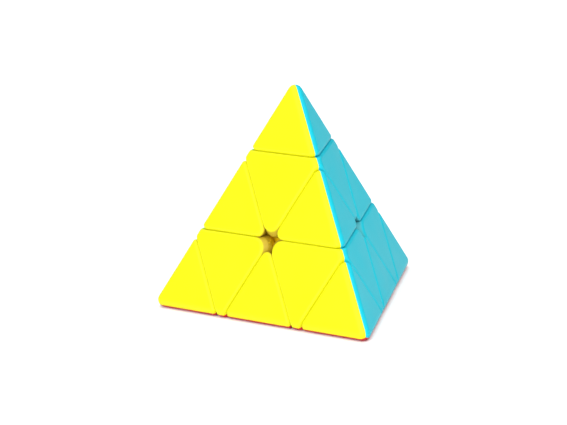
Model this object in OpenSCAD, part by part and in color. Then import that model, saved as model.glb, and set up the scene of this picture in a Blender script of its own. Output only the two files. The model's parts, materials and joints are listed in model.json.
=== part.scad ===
// Pyramid twisty puzzle: a regular four-sided pyramid cut into four tips,
// four axial pieces and six edge pieces that turn round a four-armed core.
// The origin is the centre of the core, where the four turning axes meet,
// and +Z points to the top corner. Units are millimetres.

/* [Size] */
// Overall length of one edge of the pyramid, over its rounded corners
edge_len = 98; // [84:1:112]
// Radius of the rounded outer edges and corners
edge_round = 2.7; // [1:0.1:3]

/* [Pieces] */
// Gap between neighbouring pieces
gap = 0.4; // [0.3:0.05:0.5]
// How far the flat corners of each coloured facet are cut back
corner_cut = 2; // [1.2:0.1:2.8]

/* [Cut positions] */
// Height of a tip, as a share of the whole height
tip_share = 0.3315; // [0.32:0.0005:0.3333]
// Height of a whole turning layer, as a share of the whole height
layer_share = 0.6635; // [0.66:0.0005:0.6667]

/* [Colour shells] */
// Thickness of the coloured shells under each facet
shell_t = 2.2; // [1.6:0.1:2.6]
// Depth of the side skirts of the shells, measured from the facet
skirt_depth = 5; // [3.5:0.25:6]
// Thickness of the side skirts
skirt_t = 1.6; // [1.2:0.1:2]

/* [Turning tracks] */
// Radius of the round track that holds the feet of the edge pieces
track_r = 13; // [12.6:0.1:13.4]
// Height of the floor of the track above the centre of the core
track_z = 3.5; // [3.4:0.1:3.8]

/* [Core and hardware] */
// Radius of the arms of the core
arm_r = 3.6; // [3:0.1:3.6]
// Radius of the shank of the tension screws
screw_r = 1.5; // [1.2:0.1:1.6]
// Radius of the heads of the tension screws
head_r = 2.9; // [2.4:0.1:3]
// Radius of the wire of the tension springs
wire_r = 0.35; // [0.3:0.05:0.4]
// Number of coils in each tension spring
coils = 6; // [4:1:7]

/* [Hidden] */
$fn = 48;

// Edge length of the pyramid before its edges are rounded
L = edge_len + (2 * sqrt(6) - 2) * edge_round;
// Scale of the inner mechanism against its nominal pyramid
k = L / 103.8;
H = L * sqrt(2 / 3);       // height of the sharp pyramid
inr = H / 4;               // centre to each face
far = 3 * H / 4;           // centre to each sharp corner
layer_z = far - layer_share * H;  // centre to each layer cut, along its axis
tip_z = far - tip_share * H;      // centre to each tip cut, along its axis
low = 1 - layer_share;
z_in = layer_z + gap / 2;  // a layer's own pieces start here
z_out = layer_z - gap / 2; // everything else stops here
edge_flat = (inr - edge_round) * sqrt(3) + edge_round;  // centre to the rounded edges
corner_flat = 3 * inr - 2 * edge_round;                 // centre to the rounded corners
side_flat = (inr - edge_round) * sqrt(3) * cos(acos(1 / sqrt(3)) / 2) + edge_round;  // centre to the roundings' sides
end_flat = (far - 3 * edge_round) * sqrt(2 / 3) + edge_round;  // middle of an edge to its rounded ends
// Facets are triangles of these sides; the axial ones lose two corners at the edges
tip_side = tip_share * L;
axial_side = (2 * low - tip_share) * L;
edge_side = (1 - 2 * low) * L;
big = 2 * L;

tr = track_r * k;
tz = track_z * k;
core_z = tz - gap / 2 - 0.1;  // centre to the faces of the core block
arm_len = 20 * k;
floor_z0 = 20.4 * k;       // floor of the axial piece, on the arm's end
floor_z1 = 22.3 * k;
hub_z0 = 22.7 * k;         // floor of the tip's hub
hub_z1 = 24.5 * k;
hub_r = 4.4 * k;
hub_bore = 3.4 * k;
washer_z = 36 * k;
head_z = 36.6 * k;
head_h = 2 * k;

// Corner directions: top, left, right, back. Face i lies opposite corner i:
// face 0 red (below), face 1 blue, face 2 green, face 3 yellow (front).
V = [[0, 0, 1],
     [-sqrt(2 / 3), -sqrt(2) / 3, -1 / 3],
     [sqrt(2 / 3), -sqrt(2) / 3, -1 / 3],
     [0, 2 * sqrt(2) / 3, -1 / 3]];
function unit(a) = a / norm(a);
function outer(a, b) = [for (x = a) [for (y = b) x * y]];
// Rotation that carries the corners 0, 1, 2, 3 to p[0], p[1], p[2], p[3]
function turned(p) = 0.75 * (outer(V[p[0]], V[0]) + outer(V[p[1]], V[1])
                           + outer(V[p[2]], V[2]) + outer(V[p[3]], V[3]));
module turn_to(p) {
  m = turned(p);
  multmatrix([concat(m[0], [0]), concat(m[1], [0]), concat(m[2], [0]), [0, 0, 0, 1]]) children();
}
module along(n) rotate([0, acos(n[2]), atan2(n[1], n[0])]) children();
// All of space beyond, or short of, the plane at distance d along n
module above(n, d) along(n) translate([-big / 2, -big / 2, d]) cube(big);
module below(n, d) along(n) translate([-big / 2, -big / 2, d - big]) cube(big);
// A point of face 3, by its shares of the corners 0, 1 and 2
function on_face(a, b, c) = far * (a * V[0] + b * V[1] + c * V[2]);
// Cylinder that trims the corners of a facet with the given side
module facet_round(p, side) translate(p) along(-V[3]) translate([0, 0, -10])
  cylinder(r = side / sqrt(3) - 0.42 - corner_cut, h = 20, $fn = 96);

// Colours of the four faces, and of the plastic inside
paint = ["firebrick", "deepskyblue", "limegreen", "yellow"];
inner = "ivory";

// Side of the rounding along the edge from corner 0 to corner i, next to face 3
module round_side(i) below(unit(unit(V[0] + V[i]) - V[3]), side_flat);

// ---- tips: one canonical tip at the top corner -------------------------
module tip_cell(d, w) {
  intersection() {
    above(V[0], tip_z + gap / 2 + w);
    below(-V[1], inr - d);
    below(-V[2], inr - d);
    below(-V[3], inr - d);
  }
}
module tip_shell() {
  difference() {
    intersection() {
      tip_cell(0, 0);
      above(-V[3], inr - skirt_depth);
      above(unit(V[1] - V[3]), 0);
      above(unit(V[2] - V[3]), 0);
      below(unit(V[0] + V[1]), edge_flat);
      below(unit(V[0] + V[2]), edge_flat);
      round_side(1);
      round_side(2);
      below(V[0], corner_flat);
      below(unit(V[0] - V[1]), end_flat);
      below(unit(V[0] - V[2]), end_flat);
      below(unit(V[0] - V[3]), end_flat);
      facet_round(on_face(1 - 2 * tip_share / 3, tip_share / 3, tip_share / 3), tip_side);
    }
    tip_cell(shell_t, skirt_t);
  }
}
module tip_body() {
  difference() {
    union() {
      tip_cell(shell_t, skirt_t);
      tip_cell(skirt_depth, 0);
      translate([0, 0, hub_z0]) cylinder(r = hub_r, h = tip_z + gap / 2 + 0.3 - hub_z0);
    }
    translate([0, 0, hub_z1]) cylinder(r = hub_bore, h = 15.5 * k);
    translate([0, 0, hub_z1]) cylinder(r = 2.4 * k, h = 40 * k);
    translate([0, 0, hub_z0 - 1]) cylinder(r = screw_r + 0.4, h = 4);
  }
}

// ---- axial pieces: one canonical piece under the top tip ----------------
module axial_cell(d, w) {
  intersection() {
    above(V[0], z_in);
    below(V[0], tip_z - gap / 2 - w);
    below(V[1], z_out - w);
    below(V[2], z_out - w);
    below(V[3], z_out - w);
    below(-V[1], inr - d);
    below(-V[2], inr - d);
    below(-V[3], inr - d);
  }
}
module axial_shell() {
  difference() {
    intersection() {
      axial_cell(0, 0);
      above(-V[3], inr - skirt_depth);
      above(unit(V[1] - V[3]), 0);
      above(unit(V[2] - V[3]), 0);
      below(unit(V[0] + V[1]), edge_flat);
      below(unit(V[0] + V[2]), edge_flat);
      round_side(1);
      round_side(2);
      facet_round(on_face(1 - 2 * (tip_share + low) / 3, (tip_share + low) / 3, (tip_share + low) / 3), axial_side);
    }
    axial_cell(shell_t, skirt_t);
  }
}
// Weight-saving pocket under one facet, closed by its shell
module axial_pocket() {
  intersection() {
    below(V[0], tip_z - gap / 2 - 3.2 * k);
    below(V[1], z_out - 3.2 * k);
    below(V[2], z_out - 3.2 * k);
    below(-V[3], inr);
    above(-V[3], inr - 11.5 * k);
    above(V[0], z_in + 3 * k);
    above(unit(V[1] - V[3]), 1.2);
    above(unit(V[2] - V[3]), 1.2);
  }
}
// The round part of a layer's track, cut into every piece outside the layer
module track_cut(i) along(V[i]) translate([0, 0, tz - gap / 2]) cylinder(r = tr + gap / 2, h = 20 * k, $fn = 96);
module axial_body() {
  difference() {
    union() {
      axial_cell(shell_t, skirt_t);
      axial_cell(skirt_depth, 0);
      translate([0, 0, tz + gap / 2]) cylinder(r = 9.5 * k, h = z_in + 0.6 - tz - gap / 2);
    }
    track_cut(1);
    track_cut(2);
    track_cut(3);
    translate([0, 0, -1]) cylinder(r = arm_r * k + 0.35, h = floor_z0 + 1);
    translate([0, 0, floor_z0 - 1]) cylinder(r = screw_r + 0.4, h = 5);
    translate([0, 0, floor_z1]) cylinder(r = hub_r + 0.4, h = 20 * k);
    difference() {
      for (i = [0:2]) rotate(120 * i) axial_pocket();
      cylinder(r = hub_r + 2, h = 60);
    }
  }
}

// ---- edge pieces: one canonical piece between the top and left corners --
module edge_cell(d, w) {
  intersection() {
    above(V[0], z_in + w);
    above(V[1], z_in + w);
    below(-V[2], inr - d);
    below(-V[3], inr - d);
  }
}
module edge_shell() {
  difference() {
    intersection() {
      edge_cell(0, 0);
      above(-V[3], inr - skirt_depth);
      above(unit(V[2] - V[3]), 0);
      below(unit(V[0] + V[1]), edge_flat);
      round_side(1);
      facet_round(on_face((1 - (1 - 2 * low) / 3) / 2, (1 - (1 - 2 * low) / 3) / 2, (1 - 2 * low) / 3), edge_side);
    }
    edge_cell(shell_t, skirt_t);
  }
}
// The space that turns with layer i: beyond its cut, and down its track
module layer_space(i) {
  above(V[i], z_in);
  along(V[i]) translate([0, 0, tz + gap / 2]) cylinder(r = tr - gap / 2, h = 20 * k, $fn = 96);
}
module edge_body() {
  difference() {
    union() {
      edge_cell(shell_t, skirt_t);
      intersection() {
        layer_space(0);
        layer_space(1);
        below(-V[2], inr - skirt_depth);
        below(-V[3], inr - skirt_depth);
      }
    }
    track_cut(2);
    track_cut(3);
  }
}

// ---- core and hardware --------------------------------------------------
module four_axes() {
  children();
  along(V[1]) children();
  along(V[2]) children();
  along(V[3]) children();
}
// A four-sided block with a round, drilled arm standing on each face
module core_block() {
  intersection() {
    below(V[0], core_z);
    below(V[1], core_z);
    below(V[2], core_z);
    below(V[3], core_z);
    below(-V[0], 8 * k);
    below(-V[1], 8 * k);
    below(-V[2], 8 * k);
    below(-V[3], 8 * k);
  }
}
module core() color(inner) {
  difference() {
    union() {
      core_block();
      four_axes() translate([0, 0, core_z - 0.6]) cylinder(r = arm_r * k, h = arm_len - core_z + 0.6);
    }
    four_axes() translate([0, 0, 10 * k]) cylinder(r = screw_r + 0.05, h = 15 * k);
  }
}
module tension_screws() color("silver") {
  four_axes() difference() {
    union() {
      translate([0, 0, 12 * k]) cylinder(r = screw_r, h = head_z - 12 * k);
      translate([0, 0, head_z]) cylinder(r = head_r, h = head_h);
    }
    translate([-0.45, -1.9, head_z + head_h - 1.2]) cube([0.9, 3.8, 2]);
    translate([-1.9, -0.45, head_z + head_h - 1.2]) cube([3.8, 0.9, 2]);
  }
}
module spring_washers() color("gainsboro") {
  four_axes() translate([0, 0, washer_z]) difference() {
    cylinder(r = 3.05 * k, h = head_z - washer_z);
    translate([0, 0, -1]) cylinder(r = screw_r + 0.12, h = 3);
  }
}
// One compression spring: a round wire swept along a helix
spring_r = screw_r + 0.55 + wire_r;
spring_z0 = hub_z1 + 0.45 + wire_r;
spring_z1 = washer_z - 0.1 - wire_r;
sides = 5;
function coil_pt(a, s) = [(spring_r + wire_r * cos(360 * s / sides)) * cos(a),
                          (spring_r + wire_r * cos(360 * s / sides)) * sin(a),
                          spring_z0 + (spring_z1 - spring_z0) * a / (360 * coils)
                            + wire_r * sin(360 * s / sides)];
module spring() {
  n = coils * 10;
  polyhedron(
    points = [for (i = [0:n]) for (s = [0:sides - 1]) coil_pt(360 * coils * i / n, s)],
    faces = concat([[for (s = [sides - 1:-1:0]) s]],
                   [for (i = [0:n - 1]) for (s = [0:sides - 1])
                     [i * sides + s, i * sides + (s + 1) % sides, (i + 1) * sides + (s + 1) % sides]],
                   [for (i = [0:n - 1]) for (s = [0:sides - 1])
                     [i * sides + s, (i + 1) * sides + (s + 1) % sides, (i + 1) * sides + s]],
                   [[for (s = [0:sides - 1]) n * sides + s]]));
}
module tension_springs() color("silver") four_axes() spring();

// ---- placing: corner pieces by corner and face, edge pieces by corner pair
P_CORNER = [[0, 1, 2, 3], [1, 0, 3, 2], [2, 3, 0, 1], [3, 2, 1, 0]];
P_EDGE = [[0, 1, 2, 3], [0, 2, 3, 1], [0, 3, 1, 2], [1, 2, 0, 3], [3, 1, 0, 2], [2, 3, 0, 1]];
// Turn about the corner's own axis that brings facet 3 round to face f
function spin(p, f) = p[3] == f ? 0 : p[1] == f ? 120 : 240;
module corner_shell(c, f) color(paint[f]) turn_to(P_CORNER[c]) rotate(spin(P_CORNER[c], f)) children();
module corner_base(c) color(inner) turn_to(P_CORNER[c]) children();
// An edge piece's second facet is its first, turned end for end
module edge_piece_shell(e, f) color(paint[f]) turn_to(P_EDGE[e][3] == f ? P_EDGE[e]
  : [P_EDGE[e][1], P_EDGE[e][0], P_EDGE[e][3], P_EDGE[e][2]]) edge_shell();
module edge_piece_base(e) color(inner) turn_to(P_EDGE[e]) edge_body();

module tip_top_base() corner_base(0) tip_body();
module tip_top_yellow() corner_shell(0, 3) tip_shell();
module tip_top_blue() corner_shell(0, 1) tip_shell();
module tip_top_green() corner_shell(0, 2) tip_shell();
module tip_left_base() corner_base(1) tip_body();
module tip_left_yellow() corner_shell(1, 3) tip_shell();
module tip_left_green() corner_shell(1, 2) tip_shell();
module tip_left_red() corner_shell(1, 0) tip_shell();
module tip_right_base() corner_base(2) tip_body();
module tip_right_yellow() corner_shell(2, 3) tip_shell();
module tip_right_blue() corner_shell(2, 1) tip_shell();
module tip_right_red() corner_shell(2, 0) tip_shell();
module tip_back_base() corner_base(3) tip_body();
module tip_back_blue() corner_shell(3, 1) tip_shell();
module tip_back_green() corner_shell(3, 2) tip_shell();
module tip_back_red() corner_shell(3, 0) tip_shell();

module axial_top_base() corner_base(0) axial_body();
module axial_top_yellow() corner_shell(0, 3) axial_shell();
module axial_top_blue() corner_shell(0, 1) axial_shell();
module axial_top_green() corner_shell(0, 2) axial_shell();
module axial_left_base() corner_base(1) axial_body();
module axial_left_yellow() corner_shell(1, 3) axial_shell();
module axial_left_green() corner_shell(1, 2) axial_shell();
module axial_left_red() corner_shell(1, 0) axial_shell();
module axial_right_base() corner_base(2) axial_body();
module axial_right_yellow() corner_shell(2, 3) axial_shell();
module axial_right_blue() corner_shell(2, 1) axial_shell();
module axial_right_red() corner_shell(2, 0) axial_shell();
module axial_back_base() corner_base(3) axial_body();
module axial_back_blue() corner_shell(3, 1) axial_shell();
module axial_back_green() corner_shell(3, 2) axial_shell();
module axial_back_red() corner_shell(3, 0) axial_shell();

module edge_top_left_base() edge_piece_base(0);
module edge_top_left_yellow() edge_piece_shell(0, 3);
module edge_top_left_green() edge_piece_shell(0, 2);
module edge_top_right_base() edge_piece_base(1);
module edge_top_right_yellow() edge_piece_shell(1, 3);
module edge_top_right_blue() edge_piece_shell(1, 1);
module edge_top_back_base() edge_piece_base(2);
module edge_top_back_blue() edge_piece_shell(2, 1);
module edge_top_back_green() edge_piece_shell(2, 2);
module edge_left_right_base() edge_piece_base(3);
module edge_left_right_yellow() edge_piece_shell(3, 3);
module edge_left_right_red() edge_piece_shell(3, 0);
module edge_left_back_base() edge_piece_base(4);
module edge_left_back_green() edge_piece_shell(4, 2);
module edge_left_back_red() edge_piece_shell(4, 0);
module edge_right_back_base() edge_piece_base(5);
module edge_right_back_blue() edge_piece_shell(5, 1);
module edge_right_back_red() edge_piece_shell(5, 0);

core();
tension_screws();
tension_springs();
spring_washers();
tip_top_base();
tip_top_yellow();
tip_top_blue();
tip_top_green();
tip_left_base();
tip_left_yellow();
tip_left_green();
tip_left_red();
tip_right_base();
tip_right_yellow();
tip_right_blue();
tip_right_red();
tip_back_base();
tip_back_blue();
tip_back_green();
tip_back_red();
axial_top_base();
axial_top_yellow();
axial_top_blue();
axial_top_green();
axial_left_base();
axial_left_yellow();
axial_left_green();
axial_left_red();
axial_right_base();
axial_right_yellow();
axial_right_blue();
axial_right_red();
axial_back_base();
axial_back_blue();
axial_back_green();
axial_back_red();
edge_top_left_base();
edge_top_left_yellow();
edge_top_left_green();
edge_top_right_base();
edge_top_right_yellow();
edge_top_right_blue();
edge_top_back_base();
edge_top_back_blue();
edge_top_back_green();
edge_left_right_base();
edge_left_right_yellow();
edge_left_right_red();
edge_left_back_base();
edge_left_back_green();
edge_left_back_red();
edge_right_back_base();
edge_right_back_blue();
edge_right_back_red();
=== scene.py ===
import json
import math

import bmesh
import bpy
from mathutils import Matrix, Vector


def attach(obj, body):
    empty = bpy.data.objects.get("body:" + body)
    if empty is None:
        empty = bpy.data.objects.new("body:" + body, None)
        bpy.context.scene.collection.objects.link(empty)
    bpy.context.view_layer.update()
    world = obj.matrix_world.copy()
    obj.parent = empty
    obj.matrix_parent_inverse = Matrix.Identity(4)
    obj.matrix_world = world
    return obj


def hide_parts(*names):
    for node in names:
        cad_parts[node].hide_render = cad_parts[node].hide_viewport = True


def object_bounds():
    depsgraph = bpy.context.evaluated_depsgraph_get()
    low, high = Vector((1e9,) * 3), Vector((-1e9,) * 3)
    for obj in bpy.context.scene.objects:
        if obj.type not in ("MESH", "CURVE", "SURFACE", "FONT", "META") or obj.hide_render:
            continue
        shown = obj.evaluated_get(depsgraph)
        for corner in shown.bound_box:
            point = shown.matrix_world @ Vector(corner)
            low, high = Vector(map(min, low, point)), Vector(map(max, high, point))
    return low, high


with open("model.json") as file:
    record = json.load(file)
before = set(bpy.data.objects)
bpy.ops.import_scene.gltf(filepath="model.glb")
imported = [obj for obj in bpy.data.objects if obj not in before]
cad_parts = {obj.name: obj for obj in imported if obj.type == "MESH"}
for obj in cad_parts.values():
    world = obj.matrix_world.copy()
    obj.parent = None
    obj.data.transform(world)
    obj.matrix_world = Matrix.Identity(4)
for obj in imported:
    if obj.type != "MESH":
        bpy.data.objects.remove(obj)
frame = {"nodes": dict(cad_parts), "record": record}
cad_lo, cad_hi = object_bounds()
CAD_BOX = [[float(x) for x in cad_lo], [float(x) for x in cad_hi]]

# ---------------------------------------------------------------------------
# The pyramid's geometry, in millimetres, as in the design
# ---------------------------------------------------------------------------
EDGE_LEN, R = 98.0, 2.7                       # overall edge, outer rounding
L = EDGE_LEN + (2 * math.sqrt(6) - 2) * R
H = L * math.sqrt(2 / 3)
INR, FAR = H / 4, 3 * H / 4
TIP_SHARE, LAYER_SHARE = 0.3315, 0.6635
LAYER_Z, TIP_Z = FAR - LAYER_SHARE * H, FAR - TIP_SHARE * H
RF = L / math.sqrt(3)                         # circumradius of a face
S8 = math.sqrt(8) / 3                         # 0.9428, sine of the face to axis angle

HALF_GAP = 0.018                              # half the gap between two shells
F, F_EDGE, ROLL_END = 1.45, 1.1, 0.68         # roll into the seams: on a face, at an edge, how far it goes
RHO, RHO_AXIAL = 3.0, 4.0                     # corner radius at a face's centre, and an axial piece's at the top
D_FLARE = 2.05                                # an axial piece's hole wall flares out above this depth
T_CAP = 2.16                                  # shell thickness
D_SKIRT = 4.95                                # skirt depth
W_SKIRT = 1.6                                 # skirt thickness
TAU = R / math.tan(math.acos(1 / 3) / 2)      # tangent distance of the outer rounding
K, M_F, K_ARC, K_LAM = 8, 5, 12, 6            # steps: outer rounding, seam fillet, corner arc, along an edge

V4 = [Vector((0, 0, 1)),
      Vector((-math.sqrt(2 / 3), -math.sqrt(2) / 3, -1 / 3)),
      Vector((math.sqrt(2 / 3), -math.sqrt(2) / 3, -1 / 3)),
      Vector((0, 2 * math.sqrt(2) / 3, -1 / 3))]
N3 = -V4[3]                                   # the front face's normal
EX = Vector((1, 0, 0))
EU = Vector((0, 1 / 3, S8))
A_DIR = {0: Vector((0, 1)), 1: Vector((-math.sqrt(3) / 2, -0.5)), 2: Vector((math.sqrt(3) / 2, -0.5))}


def space(xy, d):
    """A point of the front face's frame: in-plane position, depth below the face."""
    return N3 * (INR - d) + EX * xy[0] + EU * xy[1]


def dir3(a, xy, b):
    """a times the face normal plus b times an in-plane direction."""
    return N3 * a + (EX * xy[0] + EU * xy[1]) * b


def meet(q1, k1, q2, k2):
    """Where the lines q1.x = k1 and q2.x = k2 cross."""
    det = q1.x * q2.y - q1.y * q2.x
    return Vector(((k1 * q2.y - k2 * q1.y) / det, (q1.x * k2 - q2.x * k1) / det))


def rolled(om, theta=None):
    """The roll from a surface into a seam wall: at each step the share of the turn between
    their normals, the drop below the surface and the set-in from the wall. It stops short of
    the wall's own direction on a face, and reaches it at the outer edges."""
    t = 0 if theta is None else theta / THETA_B
    r, end = F + (F_EDGE - F) * t, om * (ROLL_END + (1 - ROLL_END) * t)
    for j in range(M_F + 1):
        a = end * j / M_F
        yield a / om, r * (1 - math.cos(a)), r * (math.cos(om - end) - math.cos(om - a))


class Cut:
    """A seam side: the cut plane across axis v, with the piece beyond it or short of it."""

    def __init__(self, v, z, beyond):
        self.sigma = -1 if beyond else 1
        self.q = -A_DIR[v] if beyond else A_DIR[v].copy()
        edge = z + HALF_GAP if beyond else z - HALF_GAP
        c0 = (edge - INR / 3) / S8
        self.h0 = -c0 if beyond else c0
        self.N = dir3(self.sigma / 3, self.q, S8)

    def line(self, e, d):
        """In-plane position of the plane set in by e, at depth d: the k of q.x = k."""
        return self.h0 + (self.sigma * d / 3 - e) / S8


class Outer:
    """An outer edge of the pyramid, opposite vertex v of the face."""

    def __init__(self, v):
        self.p = -A_DIR[v]

    def at(self, theta, delta):
        """(k of p.x = k, depth, normal) on the rounding, set in by delta."""
        r = R - delta
        return (RF / 2 - TAU + r * math.sin(theta), R - r * math.cos(theta),
                dir3(math.cos(theta), self.p, math.sin(theta)))


THETA_B = math.acos(1 / math.sqrt(3))          # where two faces' shells meet on the rounding


def slerp(a, b, t):
    om = math.acos(max(-1, min(1, a.dot(b))))
    return (a * math.sin((1 - t) * om) + b * math.sin(t * om)) / math.sin(om)


class Shell:
    """Builds one rounded colour shell on the front face."""

    def __init__(self, sides):
        self.verts, self.norms, self.faces, self.smooth = [], [], [], []
        self.build(sides)

    def v(self, co, no=None):
        self.verts.append(co)
        self.norms.append(no)
        return len(self.verts) - 1

    def f(self, ids, smooth):
        ids = [i for n, i in enumerate(ids) if i != ids[n - 1]]
        if len(ids) > 2:
            self.faces.append(ids)
            self.smooth.append(smooth)

    # columns: every one runs from the top ring to the ceiling of the shell
    def cut_column(self, cut, outer, theta, far_plan=None):
        """Column on a seam side; theta None is a flat one at the given plan point of the top line."""
        col = []
        if theta is None:
            tangent = Vector((-cut.q.y, cut.q.x))
            t0 = tangent.dot(far_plan)
            n_r = N3
        else:
            _, _, n_r = outer.at(theta, 0)
        for share, drop, e in rolled(math.acos(n_r.dot(cut.N)), theta):
            if theta is None:
                d = drop
                xy = tangent * t0 + cut.q * cut.line(e, d)
            else:
                k, d, _ = outer.at(theta, drop)
                xy = meet(outer.p, k, cut.q, cut.line(e, d))
            col.append(self.v(space(xy, d), slerp(n_r, cut.N, share)))
        # part-way down the wall, its bottom, rim and ceiling
        low = []
        for d, e in ((D_SKIRT, 0), (D_SKIRT, W_SKIRT), (T_CAP, W_SKIRT)):
            if theta is None:
                low.append(space(tangent * t0 + cut.q * cut.line(e, d), d))
            else:
                k = RF / 2 - math.sqrt(2) * d - (1 - theta / THETA_B)
                low.append(space(meet(outer.p, k, cut.q, cut.line(e, d)), d))
        low.insert(0, self.verts[col[-1]].lerp(low[0], 0.35))
        return col + [self.v(co) for co in low]

    def arc_columns(self, c1, c2, own=None):
        """In-plane rounding between two seam sides."""
        rho = RHO_AXIAL if c1.sigma > 0 else RHO
        top = meet(c1.q, c1.h0 - rho, c2.q, c2.h0 - rho)
        centre = meet(c1.q, c1.h0 - RHO, c2.q, c2.h0 - RHO)
        a1, a2 = math.atan2(c1.q.y, c1.q.x), math.atan2(c2.q.y, c2.q.x)
        while a2 < a1:
            a2 += 2 * math.pi
        cols = []
        for i in range(K_ARC + 1):
            ang = a1 + (a2 - a1) * i / K_ARC
            dr = Vector((math.cos(ang), math.sin(ang)))
            N = dir3(c1.sigma / 3, dr, S8)
            col = []
            for share, d, e in rolled(math.acos(N3.dot(N))):
                s = (e - c1.sigma * d / 3) / S8
                col.append(self.v(space(top + dr * (rho - s), d), slerp(N3, N, share)))
            deep = D_SKIRT
            if own is not None:
                # the wall stops where it meets the piece's own layer plane
                while deep > T_CAP + 0.05 and space(centre + dr * (RHO + deep / 3 / S8), deep).dot(V4[own]) < LAYER_Z + HALF_GAP:
                    deep -= 0.02
            for d, e in ((D_FLARE, 0), (deep, 0), (deep, W_SKIRT), (T_CAP, W_SKIRT)):
                s = (e - c1.sigma * d / 3) / S8
                col.append(self.v(space(centre + dr * (RHO - s), d)))
            cols.append(col)
        return cols

    def outer_column(self, top, no, inner):
        """Column on the plane where two shells of a piece meet."""
        col = [self.v(top, no)]
        for j in range(1, M_F + 1):
            delta = F * (1 - math.cos(math.pi / 2 * j / M_F))
            col.append(self.v(top - no * delta))
        w = self.v(inner)
        return col + [w, w, w, w]

    def build(self, sides):
        n = len(sides)
        loop, flat = [], []            # all columns round the shell; the flat facet's outline
        ends = {}                      # (side, "start" / "end") -> columns from the meeting plane to the flat
        # seam sides and their ends first
        for i, s in enumerate(sides):
            if isinstance(s, Cut):
                for which, o in (("start", sides[i - 1]), ("end", sides[(i + 1) % n])):
                    if isinstance(o, Outer):
                        ends[i, which] = [self.cut_column(s, o, THETA_B * (K - j) / K) for j in range(K + 1)]
        apex = {}
        for i, s in enumerate(sides):
            o = sides[(i + 1) % n]
            if isinstance(s, Outer) and isinstance(o, Outer):
                apex[i] = self.apex(s, o)
        for i, s in enumerate(sides):
            nxt = sides[(i + 1) % n]
            if isinstance(s, Cut):
                if (i, "start") in ends:
                    loop += ends[i, "start"]
                    flat.append(ends[i, "start"][-1][0])
                if (i, "end") in ends:
                    loop += ends[i, "end"][::-1]
                    flat.append(ends[i, "end"][-1][0])
                if isinstance(nxt, Cut):
                    cols = self.arc_columns(s, nxt, 0 if s.sigma > 0 else None)
                    loop += cols
                    flat += [c[0] for c in cols]
            else:
                # rounding strip from the previous side's end to the next side's start
                a = [c[0] for c in ends[i - 1 if i else n - 1, "end"]] if isinstance(sides[i - 1], Cut) else apex[(i - 1) % n]["last"]
                b = [c[0] for c in ends[(i + 1) % n, "start"]] if isinstance(nxt, Cut) else apex[i]["first"]
                rows = []
                for j in range(K + 1):      # j = 0 on the meeting plane, K at the flat
                    row = [a[j]]
                    for k in range(1, K_LAM):
                        t = k / K_LAM
                        row.append(self.v(self.verts[a[j]].lerp(self.verts[b[j]], t), self.norms[a[j]]))
                    row.append(b[j])
                    rows.append(row)
                for j in range(K):
                    for k in range(K_LAM):
                        self.f([rows[j][k], rows[j][k + 1], rows[j + 1][k + 1], rows[j + 1][k]], True)
                flat += rows[K][1:-1]
                d = T_CAP
                kk = RF / 2 - math.sqrt(2) * d
                ends_w = []
                for side in (sides[i - 1], nxt):
                    if isinstance(side, Cut):
                        ends_w.append(space(meet(s.p, kk, side.q, side.line(0, d)), d))
                    else:
                        ends_w.append(space(meet(s.p, kk, side.p, kk), d))
                for k in range(1, K_LAM):
                    top = self.verts[rows[0][k]]
                    inner = ends_w[0].lerp(ends_w[1], 0.06 + 0.88 * k / K_LAM if isinstance(nxt, Cut) and isinstance(sides[i - 1], Cut) else k / K_LAM)
                    col = self.outer_column(top, self.norms[rows[0][k]], inner)
                    # share the strip's own boundary vertex
                    self.verts[col[0]] = top
                    loop.append([rows[0][k]] + col[1:])
                if i in apex:
                    flat.append(apex[i]["flat"])
                    loop += apex[i]["columns"]
        # close every strip between neighbouring columns
        for c, col in enumerate(loop):
            prev = loop[c - 1]
            for j in range(len(col) - 1):
                self.f([prev[j], prev[j + 1], col[j + 1], col[j]], j < M_F)
        flat = [i for n_, i in enumerate(flat) if i != flat[n_ - 1]]
        self.f(flat, True)
        self.f([c[-1] for c in loop][::-1], False)

    def apex(self, s, o):
        """Ball corner between two outer edges."""
        g = RF / 2 - TAU
        plan = meet(s.p, g, o.p, g)
        centre = space(plan, R)
        a1, a2 = math.atan2(s.p.y, s.p.x), math.atan2(o.p.y, o.p.x)
        while a2 < a1:
            a2 += 2 * math.pi
        flat = self.v(space(plan, 0), N3.copy())
        kk = RF / 2 - math.sqrt(2) * T_CAP
        inner = space(meet(s.p, kk, o.p, kk), T_CAP)
        inner_id = self.v(inner)
        grid, n = [], 2 * K
        for i in range(n + 1):
            ang = a1 + (a2 - a1) * i / n
            dr = Vector((math.cos(ang), math.sin(ang)))
            off = min(abs(ang - a1), abs(a2 - ang))
            tmax = math.atan(math.sqrt(2) / math.cos(off))
            col = []
            for j in range(K):            # j = 0 on the meeting plane
                th = tmax * (K - j) / K
                no = dir3(math.cos(th), dr, math.sin(th))
                col.append(self.v(centre + no * R, no))
            col.append(flat)
            grid.append(col)
        for i in range(n):
            for j in range(K):
                self.f([grid[i][j], grid[i + 1][j], grid[i + 1][j + 1], grid[i][j + 1]], True)
        columns = []
        for i in range(n + 1):
            top, no = self.verts[grid[i][0]], self.norms[grid[i][0]]
            col = [grid[i][0]]
            for j in range(1, M_F + 1):
                delta = F * (1 - math.cos(math.pi / 2 * j / M_F))
                col.append(self.v(top - no * delta))
            columns.append(col + [inner_id] * 4)
        return {"first": grid[0], "last": grid[n], "flat": flat, "columns": columns}

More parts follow.
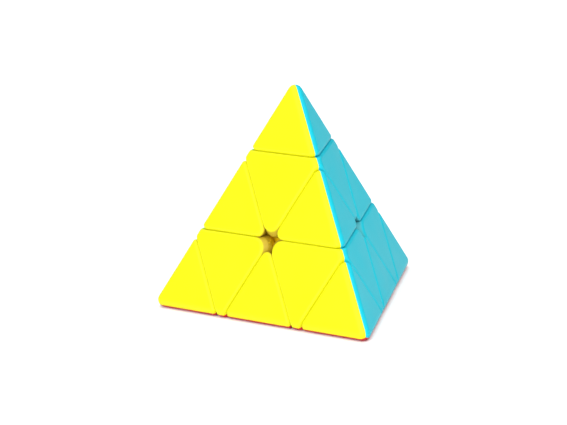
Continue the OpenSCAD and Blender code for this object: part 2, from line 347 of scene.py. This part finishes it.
    def object(self, name, matrix):
        """The mesh, merged, turned into place and scaled to metres."""
        key, remap, cos, nos = {}, [], [], []
        for co, no in zip(self.verts, self.norms):
            k = (round(co.x, 4), round(co.y, 4), round(co.z, 4))
            if k not in key:
                key[k] = len(cos)
                cos.append(co)
                nos.append(no)
            elif nos[key[k]] is None:
                nos[key[k]] = no
            remap.append(key[k])
        faces, smooth = [], []
        for ids, sm in zip(self.faces, self.smooth):
            ids = [remap[i] for i in ids]
            ids = [i for n, i in enumerate(ids) if i != ids[n - 1]]
            if len(set(ids)) > 2 and len(set(ids)) == len(ids):
                faces.append(ids)
                smooth.append(sm)
        used = sorted({i for f in faces for i in f})
        back = {i: n for n, i in enumerate(used)}
        mesh = bpy.data.meshes.new(name)
        mesh.from_pydata([matrix @ cos[i] * 0.001 for i in used], [], [[back[i] for i in f] for f in faces])
        mesh.update()
        loop_normals = []
        for poly, sm in zip(mesh.polygons, smooth):
            poly.use_smooth = True
            for vi in poly.vertices:
                no = nos[used[vi]]
                loop_normals.append((matrix @ no).normalized() if sm and no is not None else poly.normal.copy())
        mesh.normals_split_custom_set(loop_normals)
        obj = bpy.data.objects.new(name, mesh)
        bpy.context.scene.collection.objects.link(obj)
        return obj


def tip_shell():
    return Shell([Cut(0, TIP_Z, True), Outer(1), Outer(2)])


def axial_shell():
    return Shell([Cut(0, TIP_Z, False), Outer(2), Cut(1, LAYER_Z, False), Cut(2, LAYER_Z, False), Outer(1)])


def edge_shell():
    return Shell([Cut(0, LAYER_Z, True), Cut(1, LAYER_Z, True), Outer(2)])


def turned(p):
    m = Matrix(((0, 0, 0), (0, 0, 0), (0, 0, 0)))
    for i in range(4):
        for r_ in range(3):
            for c_ in range(3):
                m[r_][c_] += 0.75 * V4[p[i]][r_] * V4[i][c_]
    return m


P_CORNER = {"top": (0, 1, 2, 3), "left": (1, 0, 3, 2), "right": (2, 3, 0, 1), "back": (3, 2, 1, 0)}
P_EDGE = {"top_left": (0, 1, 2, 3), "top_right": (0, 2, 3, 1), "top_back": (0, 3, 1, 2),
          "left_right": (1, 2, 0, 3), "left_back": (3, 1, 0, 2), "right_back": (2, 3, 0, 1)}
FACE = {"red": 0, "blue": 1, "green": 2, "yellow": 3}


def place(node):
    """Which canonical shell a node is, and the turn that puts it in place."""
    words = node.split("_")
    face = FACE[words[-1]]
    if words[0] in ("tip", "axial"):
        p = P_CORNER[words[1]]
        spin = 0 if p[3] == face else 120 if p[1] == face else 240
        return words[0], turned(p) @ Matrix.Rotation(math.radians(spin), 3, "Z")
    p = P_EDGE["_".join(words[1:3])]
    if p[3] != face:
        p = (p[1], p[0], p[3], p[2])
    return "edge", turned(p)


# ---------------------------------------------------------------------------
# Materials
# ---------------------------------------------------------------------------
def from_face(nt, coord, face):
    """Height along a face's normal and distance from the line through its centre."""
    height = nt.nodes.new("ShaderNodeVectorMath")
    height.operation = "DOT_PRODUCT"
    height.inputs[1].default_value = -V4[face]
    nt.links.new(coord.outputs["Object"], height.inputs[0])
    side = nt.nodes.new("ShaderNodeVectorMath")
    side.operation = "CROSS_PRODUCT"
    side.inputs[1].default_value = -V4[face]
    nt.links.new(coord.outputs["Object"], side.inputs[0])
    away = nt.nodes.new("ShaderNodeVectorMath")
    away.operation = "LENGTH"
    nt.links.new(side.outputs["Vector"], away.inputs[0])
    return height.outputs["Value"], away.outputs["Value"]


def span(nt, value, zero, one):
    """A factor going from 0 where value is zero to 1 where value is one."""
    node = nt.nodes.new("ShaderNodeMapRange")
    node.inputs["From Min"].default_value = zero
    node.inputs["From Max"].default_value = one
    nt.links.new(value, node.inputs["Value"])
    return node.outputs["Result"]


def plastic(name, colour, roughness=0.48, grain=0.12, tint=0.05, face=None, wall=None):
    """Moulded plastic: a fine satin grain, faint flow variation and slightly worn sheen.

    face is the corner opposite the piece's own face; wall is the painted shade for the walls
    round that face's hole: its colour near the top and further down, darker with depth where those walls lie in
    shade."""
    mat = bpy.data.materials.new(name)
    mat.use_nodes = True
    nt = mat.node_tree
    nt.nodes.clear()
    out = nt.nodes.new("ShaderNodeOutputMaterial")
    bsdf = nt.nodes.new("ShaderNodeBsdfPrincipled")
    nt.links.new(bsdf.outputs["BSDF"], out.inputs["Surface"])
    coord = nt.nodes.new("ShaderNodeTexCoord")
    # broad, very soft colour variation, as pigment flows in the mould
    broad = nt.nodes.new("ShaderNodeTexNoise")
    broad.inputs["Scale"].default_value = 45.0
    broad.inputs["Detail"].default_value = 3.0
    nt.links.new(coord.outputs["Object"], broad.inputs["Vector"])
    ramp = nt.nodes.new("ShaderNodeValToRGB")
    ramp.color_ramp.elements[0].position = 0.3
    ramp.color_ramp.elements[1].position = 0.7
    lo = [c * (1 - tint) for c in colour[:3]] + [1]
    hi = [min(1, c * (1 + tint * 0.5)) for c in colour[:3]] + [1]
    ramp.color_ramp.elements[0].color = lo
    ramp.color_ramp.elements[1].color = hi
    nt.links.new(broad.outputs["Fac"], ramp.inputs["Fac"])
    tone = ramp.outputs["Color"]
    if face is not None:
        depth, away = from_face(nt, coord, face)
        # painted shade on the walls round the hole, tinted as by light bounced inside it: darker than the face, and
        # darker still further down
        # painted-shade mask: near the face's centre line and just below its surface; the shade deepens from about
        # 0.9 mm to 4.2 mm down
        near = span(nt, away, 0.0070, 0.0058)
        top = span(nt, depth, INR * 0.001 - 0.00042, INR * 0.001 - 0.00095)
        low = span(nt, depth, INR * 0.001 - 0.0009, INR * 0.001 - 0.0042)
        both = nt.nodes.new("ShaderNodeMath")
        both.operation = "MULTIPLY"
        nt.links.new(near, both.inputs[0])
        nt.links.new(top, both.inputs[1])
        painted_wall_shade = nt.nodes.new("ShaderNodeMixRGB")
        painted_wall_shade.inputs["Color1"].default_value = (*wall[0], 1)
        painted_wall_shade.inputs["Color2"].default_value = (*wall[1], 1)
        nt.links.new(low, painted_wall_shade.inputs["Fac"])
        mix = nt.nodes.new("ShaderNodeMixRGB")
        nt.links.new(both.outputs["Value"], mix.inputs["Fac"])
        nt.links.new(tone, mix.inputs["Color1"])
        nt.links.new(painted_wall_shade.outputs["Color"], mix.inputs["Color2"])
        tone = mix.outputs["Color"]
    nt.links.new(tone, bsdf.inputs["Base Color"])
    # satin grain
    fine = nt.nodes.new("ShaderNodeTexNoise")
    fine.inputs["Scale"].default_value = 2600.0
    fine.inputs["Detail"].default_value = 2.0
    nt.links.new(coord.outputs["Object"], fine.inputs["Vector"])
    bump = nt.nodes.new("ShaderNodeBump")
    bump.inputs["Strength"].default_value = grain
    bump.inputs["Distance"].default_value = 0.00004
    nt.links.new(fine.outputs["Fac"], bump.inputs["Height"])
    nt.links.new(bump.outputs["Normal"], bsdf.inputs["Normal"])
    rough = nt.nodes.new("ShaderNodeMapRange")
    rough.inputs["From Min"].default_value = 0.3
    rough.inputs["From Max"].default_value = 0.7
    rough.inputs["To Min"].default_value = roughness - 0.04
    rough.inputs["To Max"].default_value = roughness + 0.05
    nt.links.new(broad.outputs["Fac"], rough.inputs["Value"])
    nt.links.new(rough.outputs["Result"], bsdf.inputs["Roughness"])
    bsdf.inputs["IOR"].default_value = 1.5
    bsdf.inputs["Specular IOR Level"].default_value = 0.2
    return mat


def steel(name, colour, roughness, scale=900.0):
    mat = bpy.data.materials.new(name)
    mat.use_nodes = True
    nt = mat.node_tree
    nt.nodes.clear()
    out = nt.nodes.new("ShaderNodeOutputMaterial")
    bsdf = nt.nodes.new("ShaderNodeBsdfPrincipled")
    nt.links.new(bsdf.outputs["BSDF"], out.inputs["Surface"])
    bsdf.inputs["Metallic"].default_value = 1.0
    coord = nt.nodes.new("ShaderNodeTexCoord")
    noise = nt.nodes.new("ShaderNodeTexNoise")
    noise.inputs["Scale"].default_value = scale
    noise.inputs["Detail"].default_value = 4.0
    nt.links.new(coord.outputs["Object"], noise.inputs["Vector"])
    ramp = nt.nodes.new("ShaderNodeValToRGB")
    ramp.color_ramp.elements[0].color = [c * 0.86 for c in colour] + [1]
    ramp.color_ramp.elements[1].color = [min(1, c * 1.06) for c in colour] + [1]
    nt.links.new(noise.outputs["Fac"], ramp.inputs["Fac"])
    nt.links.new(ramp.outputs["Color"], bsdf.inputs["Base Color"])
    rng = nt.nodes.new("ShaderNodeMapRange")
    rng.inputs["To Min"].default_value = roughness - 0.06
    rng.inputs["To Max"].default_value = roughness + 0.1
    nt.links.new(noise.outputs["Fac"], rng.inputs["Value"])
    nt.links.new(rng.outputs["Result"], bsdf.inputs["Roughness"])
    bump = nt.nodes.new("ShaderNodeBump")
    bump.inputs["Strength"].default_value = 0.15
    bump.inputs["Distance"].default_value = 0.00002
    nt.links.new(noise.outputs["Fac"], bump.inputs["Height"])
    nt.links.new(bump.outputs["Normal"], bsdf.inputs["Normal"])
    return mat


YELLOW, BLUE = (0.63, 0.62, 0.003), (0.006, 0.478, 0.585)
GREEN, RED = (0.03, 0.60, 0.05), (0.46, 0.008, 0.02)


def hole_tint(mat):
    """Round the hole at the middle of each face the bodies are moulded in that face's colour."""
    nt = mat.node_tree
    bsdf = next(n for n in nt.nodes if n.type == "BSDF_PRINCIPLED")
    source = bsdf.inputs["Base Color"].links[0].from_socket
    coord = next(n for n in nt.nodes if n.type == "TEX_COORD")
    for face, colour in enumerate(((0.72, 0.05, 0.04), (0.12, 0.62, 0.68), (0.08, 0.55, 0.08), (0.98, 0.70, 0.01))):
        height, away = from_face(nt, coord, face)
        near = span(nt, away, 0.0105, 0.0095)
        high = span(nt, height, INR * 0.001 - 0.0135, INR * 0.001 - 0.0125)
        both = nt.nodes.new("ShaderNodeMath")
        both.operation = "MULTIPLY"
        nt.links.new(near, both.inputs[0])
        nt.links.new(high, both.inputs[1])
        mix = nt.nodes.new("ShaderNodeMixRGB")
        mix.inputs["Color2"].default_value = (*colour, 1)
        nt.links.new(both.outputs["Value"], mix.inputs["Fac"])
        nt.links.new(source, mix.inputs["Color1"])
        source = mix.outputs["Color"]
    nt.links.new(source, bsdf.inputs["Base Color"])
    return mat


MATS = {
    # wall: painted shade for the walls round each face's hole, lighter near the top and darker further down
    "yellow": plastic("yellow_plastic", YELLOW, tint=0.012, face=3, wall=((0.44, 0.32, 0.02), (0.34, 0.215, 0.005))),
    "blue": plastic("blue_plastic", BLUE, tint=0.03, face=1, wall=((0.06, 0.41, 0.46), (0.07, 0.29, 0.33))),
    "green": plastic("green_plastic", GREEN, tint=0.03, face=2, wall=((0.035, 0.39, 0.045), (0.028, 0.26, 0.035))),
    "red": plastic("red_plastic", RED, tint=0.03, face=0, wall=((0.36, 0.012, 0.02), (0.25, 0.01, 0.014))),
    "inner": hole_tint(plastic("ivory_plastic", (0.70, 0.66, 0.58), roughness=0.45, tint=0.04)),
    "steel": steel("zinc_steel", (0.66, 0.67, 0.69), 0.3),
    "wire": steel("spring_wire_steel", (0.56, 0.57, 0.6), 0.26, 1500.0),
}

# ---------------------------------------------------------------------------
# The colour shells, each in place of its CAD node
# ---------------------------------------------------------------------------
record = frame["record"]
SHAPES = {"tip": tip_shell(), "axial": axial_shell(), "edge": edge_shell()}
for body, members in record["behaviour"]["bodies"].items():
    for node in members:
        last = node.rsplit("_", 1)[-1]
        if last in FACE:
            shape, matrix = place(node)
            piece = SHAPES[shape].object(node + "_shell", matrix)
            piece.data.materials.append(MATS[last])
            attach(piece, body)
            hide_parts(node)
        else:
            obj = frame["nodes"][node]
            mat = MATS["steel"] if node in ("tension_screws", "spring_washers") else MATS["wire"] if node == "tension_springs" else MATS["inner"]
            if not obj.material_slots:
                obj.data.materials.append(mat)
            for slot in obj.material_slots:
                slot.material = mat

# ---------------------------------------------------------------------------
# Floor, light and camera
# ---------------------------------------------------------------------------
def floor():
    bm = bmesh.new()
    bmesh.ops.create_grid(bm, x_segments=8, y_segments=8, size=6.0)
    mesh = bpy.data.meshes.new("studio_floor")
    bm.to_mesh(mesh)
    bm.free()
    obj = bpy.data.objects.new("studio_floor", mesh)
    obj.location = (0, 0, CAD_BOX[0][2] - 0.00002)
    bpy.context.scene.collection.objects.link(obj)
    mat = bpy.data.materials.new("studio_paper")
    mat.use_nodes = True
    bsdf = mat.node_tree.nodes["Principled BSDF"]
    bsdf.inputs["Base Color"].default_value = (0.93, 0.93, 0.93, 1)
    bsdf.inputs["Roughness"].default_value = 0.9
    bsdf.inputs["Specular IOR Level"].default_value = 0.1
    obj.data.materials.append(mat)


floor()

AZ, EL, ROLL = math.radians(41.38), math.radians(14.13), math.radians(-4.13)
SCALE = L / 103.798
DIST, TX, TZ = 1.0534 * SCALE, -0.00709 * SCALE, 0.01245 * SCALE
back = Vector((math.sin(AZ) * math.cos(EL), -math.cos(AZ) * math.cos(EL), math.sin(EL)))
fwd = -back
right = fwd.cross(Vector((0, 0, 1))).normalized()
up = right.cross(fwd)
target = right * TX + up * TZ
pos = target + back * DIST
r2 = right * math.cos(ROLL) + up * math.sin(ROLL)
u2 = up * math.cos(ROLL) - right * math.sin(ROLL)
cam_data = bpy.data.cameras.new("camera")
cam_data.sensor_width = 36.0
cam_data.sensor_fit = "HORIZONTAL"
cam_data.lens = 2987.0 * 36.0 / 567.0
cam_data.clip_start = 0.01
cam_data.clip_end = 50
cam = bpy.data.objects.new("camera", cam_data)
m = Matrix.Identity(4)
for i in range(3):
    m[i][0], m[i][1], m[i][2], m[i][3] = r2[i], u2[i], back[i], pos[i]
cam.matrix_world = m
bpy.context.scene.collection.objects.link(cam)
bpy.context.scene.camera = cam


def area(name, direction, dist, size, power, colour=(1, 1, 1)):
    d = Vector(direction).normalized()
    data = bpy.data.lights.new(name, "AREA")
    data.shape = "SQUARE"
    data.size = size
    data.energy = power
    data.color = colour
    obj = bpy.data.objects.new(name, data)
    obj.location = d * dist
    obj.rotation_euler = (-d).to_track_quat("-Z", "Y").to_euler()
    bpy.context.scene.collection.objects.link(obj)


area("key", (0.12, -0.95, 0.27), 1.3, 0.8, 9.5)
area("fill", (0.66, -0.63, 0.40), 1.3, 0.5, 9.0)
sky = bpy.data.lights.new("overhead", "SUN")
sky.energy = 3.1
sky.angle = math.radians(100)
sun = bpy.data.objects.new("overhead", sky)
bpy.context.scene.collection.objects.link(sun)

world = bpy.data.worlds.new("studio")
world.use_nodes = True
world.node_tree.nodes["Background"].inputs["Color"].default_value = (1, 1, 1, 1)
world.node_tree.nodes["Background"].inputs["Strength"].default_value = 0.15
bpy.context.scene.world = world
bpy.context.scene.view_settings.view_transform = "Standard"
bpy.context.scene.view_settings.look = "None"
